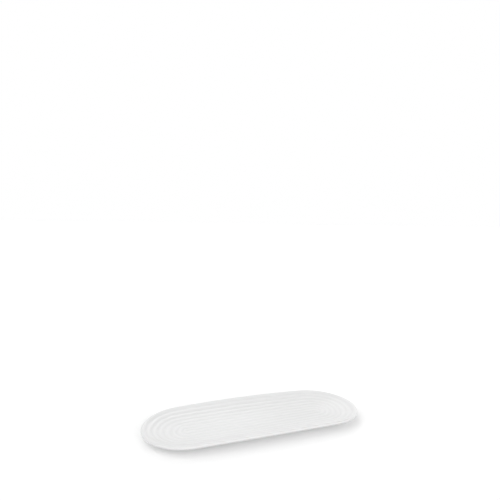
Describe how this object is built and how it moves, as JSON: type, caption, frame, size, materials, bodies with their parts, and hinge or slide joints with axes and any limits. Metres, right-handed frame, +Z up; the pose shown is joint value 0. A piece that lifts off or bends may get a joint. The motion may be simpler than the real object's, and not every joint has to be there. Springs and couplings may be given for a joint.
{
  "type": "oval serving platter",
  "caption": "Long oval porcelain serving platter: a shallow dish with concentric ripples, a thin rounded lip and a bare foot ring underneath.",
  "frame": {"origin": "centre of the foot ring's flat underside, on the table", "axes": "+X along the platter's length, +Y across it, +Z up out of the dish"},
  "size_m": [0.3508, 0.141, 0.0186],
  "materials": {
    "biscuit": "matte",
    "white_glaze": "gloss"
  },
  "bodies": {
    "root": {"porcelain_body": "biscuit", "upper_glaze": "white_glaze", "underside_glaze": "white_glaze", "recess_glaze": "white_glaze"}
  },
  "joints": []
}
